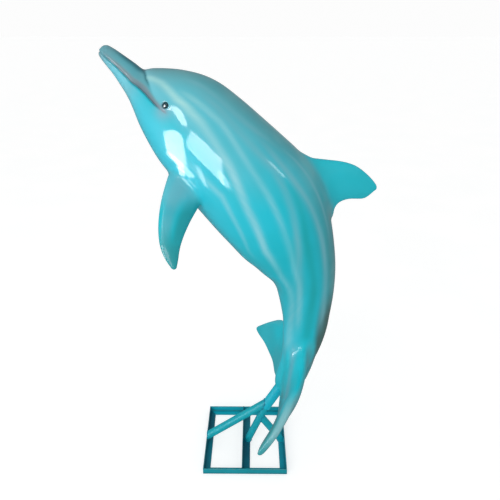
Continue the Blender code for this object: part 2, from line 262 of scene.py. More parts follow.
def ring_points(values, angles):
    """Rings of the body: angle 0 is the back, 90 degrees the left flank, 180 the belly."""
    back, belly = values[:, 0:2], values[:, 2:4]
    middle = belly + (back - belly) * values[:, 5:6]
    power = 2 / values[:, 6:7]
    up, side = np.cos(angles)[None, :], np.sin(angles)[None, :]
    reach = np.abs(up) ** power
    towards = np.where(up[..., None] > 0, (back - middle)[:, None, :], (belly - middle)[:, None, :])
    flat = middle[:, None, :] + towards * reach[..., None]
    y = -np.sign(side) * values[:, 4:5] * np.abs(side) ** power
    return np.stack([flat[..., 0], y, flat[..., 1]], -1) * UNIT


def tube_faces(count, sides, ends=True):
    """Faces of a tube through rings of points, with flat ends or joined end to end."""
    faces = []
    for i in range(count - 1 if ends else count):
        here, after = i * sides, (i + 1) % count * sides
        for k in range(sides):
            onward = (k + 1) % sides
            faces.append((here + k, here + onward, after + onward, after + k))
    if ends:
        faces += [tuple(range(sides))[::-1], tuple(range((count - 1) * sides, count * sides))]
    return faces


class Form:
    """A closed lofted form that can say how far a point is from it."""

    def __init__(self, rings):
        self.rings, self.sides, self.points = rings, rings.shape[1], rings.reshape(-1, 3)
        self.faces = tube_faces(*rings.shape[:2])
        a, b, c, d = self.points[np.array(self.faces[:-2])].transpose(1, 0, 2)
        inside_out = (a * (np.cross(b, c) + np.cross(c, d))).sum() < 0
        if inside_out:
            self.faces = [face[::-1] for face in self.faces]
        self.tree = BVHTree.FromPolygons(self.points.tolist(), self.faces)
        self.low, self.high = self.points.min(0), self.points.max(0)

    def near(self, points, margin):
        return np.all((points > self.low - margin) & (points < self.high + margin), axis=1)

    def distance(self, points):
        """Signed distance, its gradient and the face hit, for each point."""
        nearest = [self.tree.find_nearest(point) for point in points.tolist()]
        rows = np.array([(*place, *normal, gap, index) for place, normal, index, gap in nearest])
        away, normal, gap = points - rows[:, 0:3], rows[:, 3:6], rows[:, 6]
        signed = np.where(dots(away, normal) >= 0, gap, -gap)
        apart = gap > 1e-5
        slope = np.where(apart[:, None], away / np.where(apart, signed, 1)[:, None], normal)
        return signed, slope, rows[:, 7].astype(int)

    def spots(self, points, hit):
        """Where points by given faces are: ring number and side number, with fractions."""
        ring, side = np.minimum(hit // self.sides, len(self.rings) - 2), hit % self.sides
        corner = self.rings[ring, side]
        onward = self.rings[ring + 1, side] - corner
        round_by = self.rings[ring, (side + 1) % self.sides] - corner
        offset = points - corner
        u = dots(offset, onward) / (dots(onward, onward) + 1e-12)
        v = dots(offset, round_by) / (dots(round_by, round_by) + 1e-12)
        return ring + np.clip(u, 0, 1), side + np.clip(v, 0, 1)


def body_form():
    place, values = sampled(BODY_SECTIONS)
    along = distances((values[:, 0:2] + values[:, 2:4]) / 2) * UNIT
    spread = BEAK_SPREAD + (BODY_SPREAD - BEAK_SPREAD) * step(0.16, 0.36, along)
    values = evened(values, along, spread)
    spots, drawn = ring_spots(along, (0.004, 0.006))
    angles = np.arange(BODY_SIDES) * 2 * math.pi / BODY_SIDES
    rings = ring_points(looked_up(spots, along, values), angles)
    centre = rings.mean(1, keepdims=True)
    rings = centre + (rings - centre) * drawn[:, None, None]
    form = Form(rings)
    form.place, form.along = np.interp(spots, along, place), spots
    form.values, form.table_place = values, place
    return form


def wing_form(rows, caps, soft, root_soft=0.0):
    """A fin, with the width of its join to the body and what the front of its root adds to that."""
    values = sampled(np.array(rows)[:, (0, 1, 2, 3, 1, 4, 5)])[1]
    along = distances((values[:, 0:3] + values[:, 3:6]) / 2) * UNIT
    values = evened(values, along, FIN_SPREAD)
    spots, drawn = ring_spots(along, caps)
    rows = looked_up(spots, along, values)
    front, rear = rows[:, 0:3], rows[:, 3:6]
    span = np.gradient((front + rear) / 2, spots, axis=0)
    chord = rear - front
    across = units(np.cross(chord, span))
    turn = np.arange(FIN_SIDES) * 2 * math.pi / FIN_SIDES
    share = ((1 - np.cos(turn)) / 2) ** FIN_CROWDING
    half = rows[:, 6:7] / 2 * np.sin(turn) * (FIN_FRONT - FIN_TAPER * share)
    rings = front[:, None] + chord[:, None] * share[None, :, None] + across[:, None] * half[..., None]
    centre = (front + rear)[:, None] / 2
    form = Form((centre + (rings - centre) * drawn[:, None, None]) * UNIT)
    form.rim = np.concatenate([form.rings[:, 0], form.rings[::-1, FIN_SIDES // 2]])
    form.soft, form.root_soft = soft, root_soft
    return form


def mirrored(rows):
    return [(x, -y, *others) for x, y, *others in rows]


def post_points():
    entry = Vector((POST_ENTRY[0], 0, POST_ENTRY[1])) * UNIT
    along = Vector((math.cos(POST_SLOPE), 0, math.sin(POST_SLOPE)))
    foot = entry - along * (entry.z - JUNCTION_HEIGHT) / along.z
    return foot, entry, along


# The skin: one mesh round all the forms, with soft joins between them

body = body_form()
dorsal = wing_form((DORSAL_ROOT,) + DORSAL_FIN, (0.004, 0.003), 0.045)
left_flipper = wing_form((FLIPPER_ROOT,) + LEFT_FLIPPER, (0.004, 0.004), 0.030)
right_flipper = wing_form(mirrored((FLIPPER_ROOT,) + LEFT_FLIPPER), (0.004, 0.004), 0.030)
flukes = wing_form(mirrored(LEFT_FLUKE[1:])[::-1] + list(LEFT_FLUKE), (0.007, 0.007), 0.034, 0.032)
fins = (dorsal, left_flipper, right_flipper, flukes)


def new_object(name, mesh, material=None):
    made = bpy.data.objects.new(name, mesh)
    bpy.context.scene.collection.objects.link(made)
    if material:
        mesh.materials.append(material)
    return made


def mesh_of(name, points, faces):
    mesh = bpy.data.meshes.new(name)
    mesh.from_pydata(points, [], faces)
    mesh.shade_smooth()
    return mesh


def remeshed():
    """One closed mesh round the joined forms."""
    points, faces, start = [], [], 0
    for form in (body,) + fins:
        points.append(form.points)
        faces += [[start + i for i in face] for face in form.faces]
        start += len(form.points)
    rough = new_object("rough", mesh_of("rough", np.concatenate(points), faces))
    remesh = rough.modifiers.new("remesh", "REMESH")
    remesh.mode = "VOXEL"
    remesh.voxel_size = VOXEL
    bpy.context.view_layer.update()
    seen = bpy.context.evaluated_depsgraph_get()
    mesh = bpy.data.meshes.new_from_object(rough.evaluated_get(seen))
    bpy.data.objects.remove(rough)
    return mesh


def field(points):
    """Distance to the joined forms, its gradient, and how much of a fin a point belongs to."""
    signed, slope, hit = body.distance(points)
    fin = np.zeros(len(points))
    for form in fins:
        near = np.flatnonzero(form.near(points, JOIN_REACH))
        if not len(near):
            continue
        other, other_slope, other_hit = form.distance(points[near])
        mine, my_slope = signed[near], slope[near]
        turn = form.spots(points[near], other_hit)[1] * 2 * math.pi / FIN_SIDES
        width = form.soft * (RIM_SHARE + (1 - RIM_SHARE) * step(0, 0.7, np.sin(turn) ** 2))
        width += form.root_soft * fade(0.02, 0.09, np.abs(points[near, 1])) * step(-0.2, 0.4, np.cos(turn))
        share = np.clip(0.5 + 0.5 * (other - mine) / width, 0, 1)
        signed[near] = other + (mine - other) * share - width * share * (1 - share)
        slope[near] = my_slope * share[:, None] + other_slope * (1 - share[:, None])
        fin[near] = np.maximum(fin[near], fade(-0.5, 0.5, (other - mine) / 0.03))
    return signed, slope, hit, fin


def settle(points, rounds):
    """Bring points onto the joined forms."""
    for _ in range(rounds):
        signed, slope, hit, fin = field(points)
        size = np.maximum(dots(slope, slope), 0.3)
        points = points - slope * (signed / size)[:, None]
    return points, hit, fin


def read(items, name, size=3, kind=float):
    """One value of each vertex or edge of a mesh, as rows of numbers."""
    flat = np.empty(len(items) * size, kind)
    items.foreach_get(name, flat)
    return flat.reshape(-1, size)


def write_points(mesh, points):
    mesh.vertices.foreach_set("co", points.astype(np.float32).ravel())
    mesh.update()


def amid(points, edges):
    """The middle of each point's neighbours."""
    total = np.zeros_like(points)
    count = np.bincount(edges.ravel(), minlength=len(points))
    for a, b in ((0, 1), (1, 0)):
        for axis in range(3):
            total[:, axis] += np.bincount(edges[:, a], points[edges[:, b], axis], len(points))
    return total / count[:, None]


def spread_out(mesh, rounds, lift):
    """Even out a mesh on the joined forms, and come back to their sharp rims from outside."""
    edges = read(mesh.edges, "vertices", 2, int)
    for _ in range(rounds):
        points, normals = read(mesh.vertices, "co"), read(mesh.vertices, "normal")
        inward = amid(points, edges) - points
        outward = np.clip(-1.5 * dots(inward, normals), 0, lift)
        points = points + inward * 0.5 + normals * outward[:, None]
        write_points(mesh, settle(points, 2)[0])


def body_place(points, hit):
    """Place, angle from the back, distance along and side (0 left, 1 right) of points."""
    spot, side = body.spots(points, hit)
    rings = np.arange(len(body.place))
    angle = side * 360 / BODY_SIDES
    return (np.interp(spot, rings, body.place), np.where(angle > 180, 360 - angle, angle),
            np.interp(spot, rings, body.along), np.where(angle > 180, 1.0, 0.0))


def half_width(place):
    return np.interp(place, body.table_place, body.values[:, 4]) * UNIT


def skin_point(place, degrees):
    """Points on the body's own surface."""
    values = looked_up(place, body.table_place, body.values)
    turn = np.radians(np.atleast_1d(degrees))
    return np.array([ring_points(values[i:i + 1], turn[i:i + 1])[0, 0] for i in range(len(values))])


def mouth_angle(share):
    return np.interp(share, np.linspace(0, 1, len(MOUTH_ANGLES)), MOUTH_ANGLES)


def mouth_route():
    """The mouth line from one corner round the beak's end to the other."""
    share = np.linspace(1, 0, MOUTH_SAMPLES)
    left = skin_point(MOUTH_START + (MOUTH_END - MOUTH_START) * share, mouth_angle(share))
    end = left[-1]
    ahead = body.rings[0].mean(0) - end * (1, 0, 1)
    turn = np.linspace(0, math.pi, NOSE_SAMPLES)[1:-1, None]
    nose = end * (1, 0, 1) + ahead * np.sin(turn) + np.array([0, end[1], 0]) * np.cos(turn)
    return np.concatenate([left, nose, left[::-1] * (1, -1, 1)])


def crease_route():
    angles = np.linspace(-CREASE_ANGLES[-1], CREASE_ANGLES[-1], CREASE_SAMPLES)
    return skin_point(np.interp(np.abs(angles), CREASE_ANGLES, CREASE_PLACES), angles)


EYES = {"left": skin_point(np.array([EYE_PLACE]), EYE_ANGLE)[0]}
EYES["right"] = EYES["left"] * (1, -1, 1)
MOUTH, CREASE = mouth_route(), crease_route()


def gap_to(points, route):
    """Distance to a route, and how far along it the nearest place is."""
    tree = KDTree(len(route))
    for i, spot in enumerate(route.tolist()):
        tree.insert(spot, i)
    tree.balance()
    which = np.array([tree.find(point)[1] for point in points.tolist()])
    best = gaps(points, route[which])
    for other in (-1, 1):
        end = np.clip(which + other, 0, len(route) - 1)
        span = route[end] - route[which]
        size = dots(span, span)
        t = dots(points - route[which], span) / np.maximum(size, 1e-12)
        foot = route[which] + span * np.clip(t, 0, 1)[:, None]
        best = np.where(size > 0, np.minimum(best, gaps(points, foot)), best)
    return best, which


def mouth_gap(points, place):
    """Distance to the mouth line, samples from its nearer corner, and its angle at each place."""
    gap, which = gap_to(points, MOUTH)
    share = np.clip((place - MOUTH_START) / (MOUTH_END - MOUTH_START), 0, 1)
    return gap, np.minimum(which, len(MOUTH) - 1 - which), mouth_angle(share)


def crease_gap(points, place, away):
    """Distance from the crease between beak and forehead, less than 0 on the beak's side."""
    gap, _ = gap_to(points, CREASE)
    return np.copysign(gap, place - np.interp(away, CREASE_ANGLES, CREASE_PLACES))


def refined(mesh, near_by, reach):
    """Split the faces whose middle is within reach of some spots."""
    form = bmesh.new()
    form.from_mesh(mesh)
    form.faces.ensure_lookup_table()
    middles = np.array([f.calc_center_median()[:] for f in form.faces])
    gap, _ = gap_to(middles, near_by)
    edges = {e for i in np.flatnonzero(gap < reach) for e in form.faces[i].edges}
    bmesh.ops.subdivide_edges(form, edges=list(edges), cuts=1, use_grid_fill=True)
    bmesh.ops.triangulate(form, faces=[f for f in form.faces if len(f.verts) > 4])
    form.to_mesh(mesh)
    form.free()
    return mesh


def shaped_details(points, normals, hit, fin):
    """The points moved out or in for the mouth, the crease, the eyes and the uneven casting."""
    place, away = body_place(points, hit)[:2]
    out = np.zeros(len(points))
    head = np.flatnonzero(place < HEAD_END)
    spots, place, away = points[head], place[head], away[head]
    gap, corner, angle = mouth_gap(spots, place)
    strength = step(0, 14, corner)
    out[head] -= MOUTH_DEPTH * strength * bell(gap, MOUTH_WIDTH)
    lip = np.where(away < angle, UPPER_LIP, LOWER_LIP)
    out[head] += lip * strength * bell(gap - LIP_FROM_MOUTH, LIP_WIDTH)
    behind = crease_gap(spots, place, away)
    shown = (0.25 + 0.75 * step(10, 40, away)) * fade(62, 80, away)
    swell = np.tanh(behind / 0.007) * bell(behind, SWELL_WIDTH)
    swell *= np.where(behind > 0, FOREHEAD_SWELL, BEAK_SWELL)
    out[head] += shown * (swell - CREASE_DEPTH * bell(behind, CREASE_WIDTH))
    for spot in EYES.values():
        reach = gaps(spots, spot)
        out[head] += EYELID_RISE * bell(reach - EYELID_RADIUS, EYELID_WIDTH)
        out[head] -= SOCKET_FALL * fade(SOCKET_FLOOR, SOCKET_RIM, reach)
    wave = sum(share * np.array([noise.noise(Vector(p) * fineness) for p in points])
               for share, fineness in CASTING_WAVES)
    calm = 1 - 0.7 * bell(gaps(points, EYES["left"]), 0.02)
    calm *= 1 - 0.6 * fin
    return points + normals * (out + CASTING_WAVE * wave * calm)[:, None]


# Paint, laid on by place along the body and by angle from the back

# Kind, strengths from its start to its end, width in metres, and pairs of place and angle
STREAKS = (
    ("pale", (1.0, 0.85, 0.80, 0.80, 0.45, 0.30, 0.25, 0.25), 0.0115,
     ((6.4, 54), (7.6, 54), (8.7, 64), (10.3, 70), (12.0, 83), (13.4, 99), (15.0, 113), (17.0, 118),
      (20.0, 124), (22.0, 138), (24.4, 124))),
    ("pale", (0.55, 0.50, 0.35, 0.35, 0.30), 0.0090,
     ((9.0, 56), (10.8, 58), (12.4, 68), (13.5, 74), (15.1, 86), (17.0, 98), (19.0, 107), (21.5, 113))),
    ("grey", (0.60, 0.60, 0.65, 0.55, 0.40), 0.0130,
     ((9.6, 44), (11.6, 49), (13.2, 53), (14.2, 65), (15.5, 80), (17.0, 92), (18.8, 104), (21.5, 115))),
    ("pale", (0.40, 0.55, 0.30), 0.0085, ((11.0, 107), (12.4, 107), (13.6, 120), (14.6, 131))),
    ("grey", (0.80, 0.85, 0.75), 0.0120, ((12.6, 41), (14.0, 46), (16.0, 51), (18.9, 54), (21.2, 52))),
    ("grey", (0.90, 0.70, 0.40), 0.0065, ((13.6, 27), (14.9, 32), (16.8, 32))),
    ("grey", (0.60, 0.70, 0.50), 0.0110, ((8.6, 34), (10.4, 36), (12.6, 33))),
    ("grey", (0.20, 0.40, 0.45, 0.50), 0.0170,
     ((17.5, 104), (19.5, 121), (21.6, 130), (23.0, 136), (24.6, 122))),
    ("deep", (0.60, 1.00, 1.00, 0.80), 0.0140,
     ((14.2, 57), (16.0, 70), (17.3, 76), (18.6, 80), (20.4, 83), (21.9, 88), (22.9, 93))),
)


def streak_masks(place, away, along, side):
    """How much there is of each kind of streak, with the two sides alike but not the same."""
    masks = {row[0]: np.zeros(len(place)) for row in STREAKS}
    narrow = 0.80 + 0.12 * step(8.0, 10.5, place)
    for number, (kind, strengths, width, line) in enumerate(STREAKS):
        places, angles = np.array(line).T
        sway = 1.5 * np.sin(along * (9 + 2 * number) + number + side * 1.3)
        off = (away - np.interp(place, places, angles) - sway) * math.pi / 180 * half_width(place)
        ends = step(places[0] - 0.8, places[0] + 0.6, place)
        ends = ends * fade(places[-1] - 0.9, places[-1] + 0.9, place)
        strength = np.interp(place, np.linspace(places[0], places[-1], len(strengths)), strengths)
        strength *= 0.88 + 0.12 * np.sin(along * 31 + number * 2.1 + side)
        shown = strength * ends * np.exp(-np.abs(off / (width * narrow)) ** 2.1)
        masks[kind] = np.maximum(masks[kind], shown)
    return masks


def across_fin(form, points):
    """Share of a fin's width, from front edge to rear edge, and which face, for points near it."""
    share, face = np.zeros(len(points)), np.zeros(len(points))
    near = np.flatnonzero(form.near(points, 0.02))
    _, _, hit = form.distance(points[near])
    turn = form.spots(points[near], hit)[1] * 2 * math.pi / FIN_SIDES
    share[near] = (1 - np.cos(turn)) / 2
    face[near] = np.sin(turn)
    return share, face


def paint_masks(points, hit, fin):
    """How much of each coat there is at each point, and the places that the brush marks follow."""
    place, away, along, side = body_place(points, hit)
    gap, corner, angle = mouth_gap(points, place)
    above = angle > away
    corner_gap = np.minimum(gaps(points, MOUTH[0]), gaps(points, MOUTH[-1]))
    eye_gap = np.minimum(gaps(points, EYES["left"]), gaps(points, EYES["right"]))
    behind = crease_gap(points, place, away)
    on_beak = fade(-0.006, 0.004, behind)
    lip_edge = np.interp(place, (1, 5.5, 7.0, 8.5), (0.004, 0.010, 0.011, 0.004))
    x, y, height = points.T
    apart, near_side = np.abs(y), step(0.0, 0.02, -y)
    body_only, flipper, fluke = 1 - fin, fin * (x < 0), fin * (height < FLUKES_BELOW)
    chord = np.where(y < 0, across_fin(left_flipper, points)[0], across_fin(right_flipper, points)[0])
    across, under = across_fin(flukes, points)
    out = step(0.15, 0.27, apart)
    band = np.interp(apart, (0.05, 0.115, 0.18), (0.18, 0.34, 0.36))
    streaks = streak_masks(place, away, along, side)
    masks = {kind: mask * body_only for kind, mask in streaks.items()} | {
        "melon": np.interp(place, (5.0, 6.5, 8.5, 12.0, 14.0), (1.0, 1.0, 0.55, 0.35, 0.0))
                 * fade(78, 94, away) * (1 - on_beak),
        "back": fade(16, np.interp(place, (7, 11), (74, 60)), away) * step(5.2, 7.0, place)
                * (1 - 0.35 * fin),
        "shade": step(12.5, 18.5, place) * fade(34, 74, away) * body_only,
        "belly": step(84, 122, away) * fade(9.5, 15.0, place) * body_only,
        "jaw": step(0, 8, away - angle) * fade(4.5, 9.0, place),
        "line": bell(gap, np.interp(place, (1.0, 4.0, 8.0), (0.0016, 0.0024, 0.0027))) * step(0, 10, corner),
        "mouth_end": step(5.0, 6.6, place) * above * bell(gap, 0.009),
        "lip": bell(np.maximum(gap - lip_edge, 0), 0.0045) * above * step(0.8, 3.0, place),
        "beak": on_beak * above * step(0.5, 2.0, place),
        "corner": bell(corner_gap, 0.021),
        "ridge": on_beak * fade(10, 44, away) * step(1.2, 3.2, place),
        "tip": fade(0.8, 3.2, place),
        "head": fade(8.6, 12.0, place),
        # Painted shade in the crease between beak and forehead
        "crease": bell(behind + 0.0015, 0.0040) * fade(60, 78, away) * body_only,
        "rim": bell(np.maximum(eye_gap - 0.0068, 0), 0.0018),
        # Painted shade on the tail's back, the side turned away from the light
        "tail_back_shade": step(18.8, 21.0, place) * fade(50, 74, away) * body_only * fade(22.4, 23.7, place),
        "fin": fin,
        "flipper": flipper * fade(0.38, 0.66, chord) * step(0.10, 0.24, chord)
                   * (0.25 + 0.75 * step(0.925, 0.995, height)),
        "flipper_low": flipper * np.maximum(fade(0.92, 1.0, height), 0.8 * step(0.52, 0.76, chord))
                       * (1 - 0.85 * step(1.005, 1.06, height)),
        "flipper_root": flipper * step(1.01, 1.07, height),
        "dull": flipper + fluke * np.interp(apart, (0.10, 0.16), (0.95, 0.50)),
        "fluke_front": fluke * fade(0.06, 0.26, across) * (0.2 + 0.8 * near_side)
                       * step(0.17, 0.26, apart) * fade(0.285, 0.325, apart),
        "fluke_band": fluke * near_side * step(0.0, 0.5, under) * fade(0.19, 0.25, apart)
                      * bell(across - band, 0.11),
        "fluke_rear": fluke * step(0.40 - 0.3 * out, 0.72 - 0.3 * out, across) * (0.2 + 0.8 * near_side)
                      * step(-0.3, 0.2, under) * step(0.06, 0.12, apart),
        "fluke_tip": fluke * step(0.23, 0.28, apart) * near_side,
        "fluke_back": fluke * step(-0.1, 0.5, -under),
    }
    values = {name: np.clip(mask, 0, 1) for name, mask in masks.items()}
    values["along"] = along
    values["around"] = np.radians(away) * half_width(place)
    return values


def add_values(mesh, values):
    """Keep a number for each point of a mesh, which its material reads by name."""
    for name, numbers in values.items():
        layer = mesh.attributes.new(name, "FLOAT", "POINT")
        layer.data.foreach_set("value", numbers.astype(np.float32))


# Materials

class Nodes:
    """Short calls for building the node tree of a material or of the world."""

    def __init__(self, owner):
        owner.use_nodes = True
        self.owner, self.tree = owner, owner.node_tree

    def fill(self, node, sockets):
        """Link or set sockets of a node."""
        for name, value in sockets.items():
            if isinstance(value, bpy.types.NodeSocket):
                self.tree.links.new(value, node.inputs[name])
            else:
                node.inputs[name].default_value = value
        return node

    def add(self, kind, sockets=None, **settings):
        node = self.tree.nodes.new(kind)
        for key, value in settings.items():
            setattr(node, key, value)
        return self.fill(node, sockets or {})

    def painted(self, sockets):
        """The material, with its shader's own sockets linked or set."""
        self.fill(self.tree.nodes["Principled BSDF"], sockets)
        return self.owner

    def mask(self, name):
        return self.add("ShaderNodeAttribute", attribute_name=name).outputs["Fac"]

    def place(self, kind="Object"):
        return self.add("ShaderNodeTexCoord").outputs[kind]

    def mix(self, factor, a, b):
        return self.add("ShaderNodeMix", {0: factor, 6: a, 7: b}, data_type="RGBA").outputs[2]

    def math(self, operation, a, b, clamp=False):
        return self.add("ShaderNodeMath", {0: a, 1: b}, operation=operation, use_clamp=clamp).outputs[0]

    def times(self, a, b):
        return self.math("MULTIPLY", a, b)

    def noise(self, scale, detail=3.0, roughness=0.5, where=None):
        where = self.place() if where is None else where
        sockets = {"Scale": scale, "Detail": detail, "Roughness": roughness, "Vector": where}
        return self.add("ShaderNodeTexNoise", sockets).outputs["Fac"]

    def brush_noise(self, along, around):
        """Noise drawn out along the body, from the places kept with the skin's points."""
        sockets = {0: self.times(self.mask("along"), along), 1: self.times(self.mask("around"), around)}
        return self.noise(1.0, where=self.add("ShaderNodeCombineXYZ", sockets).outputs[0])

    def range(self, value, low, high, to_low=0.0, to_high=1.0):
        sockets = {"Value": value, "From Min": low, "From Max": high, "To Min": to_low, "To Max": to_high}
        return self.add("ShaderNodeMapRange", sockets, clamp=True).outputs["Result"]

    def bump(self, height, strength, distance):
        sockets = {"Strength": strength, "Distance": distance, "Height": height}
        return self.add("ShaderNodeBump", sockets).outputs["Normal"]


def colour(red, green, blue):
    return (red, green, blue, 1.0)


# Coats from the first to the last: mask, cover, tones, the noise between them and the edge's noise
COATS = (
    ("belly", 0.85, ((0.045, 0.64, 0.81),), "", ""),
    ("melon", 0.85, ((0.24, 0.61, 0.70),), "", ""),
    ("shade", 0.75, ((0.030, 0.27, 0.29), (0.050, 0.31, 0.33)), "fine", "ragged"),
    ("back", 0.75, ((0.095, 0.37, 0.42), (0.150, 0.43, 0.47)), "fine", "ragged"),
    # Painted shade: the tail's back, turned away from the light
    ("tail_back_shade", 0.90, ((0.060, 0.135, 0.120),), "", "ragged"),
    ("deep", 0.75, ((0.003, 0.385, 0.410),), "", ""),
    ("grey", 0.90, ((0.18, 0.51, 0.59),), "", "brush"),
    ("pale", 0.85, ((0.30, 0.73, 0.80), (0.38, 0.72, 0.79)), "soft", "brush"),
    ("fin", 0.85, ((0.006, 0.49, 0.58), (0.008, 0.55, 0.66)), "soft", ""),
    ("flipper", 0.75, ((0.06, 0.43, 0.54), (0.11, 0.45, 0.53)), "fine", "brush"),
    ("flipper_low", 0.80, ((0.022, 0.27, 0.29),), "", ""),
    ("flipper_root", 0.60, ((0.17, 0.54, 0.64),), "", "brush"),
    ("fluke_back", 0.60, ((0.10, 0.36, 0.40),), "", "ragged"),
    ("fluke_rear", 0.85, ((0.07, 0.21, 0.24), (0.12, 0.26, 0.28)), "fine", ""),
    ("fluke_band", 0.55, ((0.17, 0.42, 0.52),), "", "ragged"),
    ("fluke_tip", 0.75, ((0.045, 0.31, 0.33),), "", ""),
    ("fluke_front", 0.80, ((0.27, 0.56, 0.60),), "", "ragged"),
    ("jaw", 0.75, ((0.27, 0.60, 0.68), (0.19, 0.61, 0.73)), "fine", ""),
    ("beak", 0.80, ((0.12, 0.38, 0.45), (0.16, 0.41, 0.46)), "fine", ""),
    ("ridge", 0.90, ((0.006, 0.15, 0.20),), "", "ragged"),
    ("tip", 0.65, ((0.22, 0.38, 0.43),), "", ""),
    # Painted shade: the dark line in the crease between beak and forehead
    ("crease", 0.80, ((0.010, 0.13, 0.17),), "", ""),
    ("lip", 0.80, ((0.20, 0.31, 0.37), (0.25, 0.31, 0.35)), "fine", ""),
    ("mouth_end", 0.60, ((0.090, 0.150, 0.200),), "", ""),
    ("corner", 0.55, ((0.30, 0.42, 0.50),), "", ""),
    ("line", 0.95, ((0.016, 0.050, 0.075),), "", ""),
    ("rim", 1.0, ((0.003, 0.035, 0.045),), "", ""),
)
TURQUOISE, BLUE_TURQUOISE = colour(0.006, 0.49, 0.585), colour(0.010, 0.56, 0.70)
HEAD_STREAK = colour(0.50, 0.84, 0.78)


def skin_material():
    """Airbrushed coats laid over each other by the masks, with brush marks along the body, and painted shade
    among them.
    """
    n = Nodes(bpy.data.materials.new("airbrushed fibreglass"))
    noises = {"soft": n.range(n.noise(5.0, 3.0), 0.35, 0.65), "fine": n.range(n.noise(9.0, 2.0), 0.4, 0.6),
              "ragged": n.times(n.math("SUBTRACT", n.noise(18.0, 4.0, 0.6), 0.5), 0.30),
              "brush": n.times(n.math("SUBTRACT", n.brush_noise(5.0, 90.0), 0.5), 0.8)}
    base = n.mix(noises["soft"], TURQUOISE, BLUE_TURQUOISE)
    for name, amount, tones, between, edge in COATS:
        paint = colour(*tones[0])
        if between:
            paint = n.mix(noises[between], paint, colour(*tones[1]))
        if name == "pale":
            paint = n.mix(n.times(n.mask("head"), 0.7), paint, HEAD_STREAK)
        cover = n.mask(name)
        if edge:
            cover = n.math("ADD", cover, n.times(noises[edge], cover), clamp=True)
        base = n.mix(n.times(cover, amount), base, paint)
    return n.painted({"Base Color": base,
                      "Roughness": n.range(n.noise(30.0, 3.0), 0.3, 0.7, 0.40, 0.52),
                      "Specular IOR Level": 0.12,
                      "Coat Weight": n.range(n.mask("dull"), 0.0, 1.0, 0.70, 0.18),
                      "Coat Roughness": 0.07,
                      "Normal": n.bump(n.noise(420.0, 2.0), 0.05, 0.0004)})


# Paints of the stand: light tone, dark tone, and the scale of the clouds between them
# The frame's paints are one teal in lit and shaded copies: lighter copies for the rear and right bars,
# painted as lit, and a darker copy for the left and middle bars and their welds, painted as shaded
METAL_PAINTS = {
    "strut paint": ((0.004, 0.42, 0.50), (0.003, 0.36, 0.45), 9.0),
    "post paint": ((0.004, 0.52, 0.66), (0.003, 0.44, 0.58), 9.0),
    "weld paint": ((0.004, 0.30, 0.42), (0.003, 0.22, 0.34), 30.0),
    "frame paint": ((0.004, 0.33, 0.41), (0.003, 0.27, 0.33), 7.0),
    "lit rear frame paint": ((0.006, 0.50, 0.62), (0.004, 0.42, 0.55), 7.0),
    "lit right frame paint": ((0.006, 0.40, 0.51), (0.003, 0.25, 0.35), 7.0),
    "shaded frame paint": ((0.005, 0.24, 0.32), (0.004, 0.135, 0.20), 7.0),
}
WORN_AND_LIT_EDGE, SPECK, CORNER_SHADE = colour(0.11, 0.29, 0.29), colour(0.01, 0.10, 0.13), colour(0.002, 0.030, 0.045)


def metal_paint(name, light, dark, scale):
    """Brushed-on paint with dark specks, worn and with a painted highlight at the bars' edges, and painted
    shade in their inner corners.
    """
    n = Nodes(bpy.data.materials.new(name))
    base = n.mix(n.range(n.noise(scale, 4.0), 0.35, 0.65), colour(*light), colour(*dark))
    specks = n.range(n.noise(160.0, 5.0, 0.7), 0.66, 0.72)
    base = n.mix(n.times(specks, 0.35), base, SPECK)
    # Paler toes: wear together with a painted highlight on the lit top edges
    chipped = n.range(n.noise(70.0, 4.0, 0.6), 0.35, 0.60)
    base = n.mix(n.times(n.mask("edge"), n.times(chipped, 0.85)), base, WORN_AND_LIT_EDGE)
    # Painted shade darkens the inner corner of each bar
    return n.painted({"Base Color": n.mix(n.times(n.mask("root"), 0.55), base, CORNER_SHADE),
                      "Roughness": n.range(n.noise(40.0, 3.0), 0.3, 0.7, 0.42, 0.58),
                      "Specular IOR Level": 0.15,
                      "Coat Weight": 0.04,
                      "Coat Roughness": 0.25,
                      "Normal": n.bump(n.noise(240.0, 3.0), 0.18, 0.0006)})


EYE_RADIUS, EYE_DEPTH = 0.0088, 0.0052
IRIS_LEVEL, PUPIL_LEVEL = 0.0064, 0.0079      # heights on the ball where these colours start
# The eye's glint is a painted highlight: a white spot at this place and of this size
EYE_GLINT_SPOT, GLINT_RADIUS = (0.0, -0.0014, 0.0085), 0.0015


def eye_material():
    """Dark teal round a black pupil, with a painted white highlight."""
    n = Nodes(bpy.data.materials.new("gloss painted eye"))
    height = n.add("ShaderNodeSeparateXYZ", {0: n.place()}).outputs["Z"]
    flecks = n.range(n.noise(600.0, 2.0), 0.4, 0.6)
    iris = n.mix(flecks, colour(0.008, 0.075, 0.095), colour(0.02, 0.12, 0.15))
    base = n.mix(n.range(height, IRIS_LEVEL, IRIS_LEVEL + 0.0004), colour(0.002, 0.016, 0.022), iris)
    base = n.mix(n.range(height, PUPIL_LEVEL, PUPIL_LEVEL + 0.0003), base, colour(0.001, 0.006, 0.008))
    # Painted highlight: the white glint on the eye
    dot = n.add("ShaderNodeVectorMath", {0: n.place(), 1: EYE_GLINT_SPOT}, operation="DISTANCE").outputs["Value"]
    off_glint = n.range(dot, GLINT_RADIUS, GLINT_RADIUS + 0.0008)
    return n.painted({"Base Color": n.mix(off_glint, colour(0.80, 0.93, 0.97), base),
                      "Roughness": 0.12, "Coat Weight": 1.0, "Coat Roughness": 0.02})


# The casting

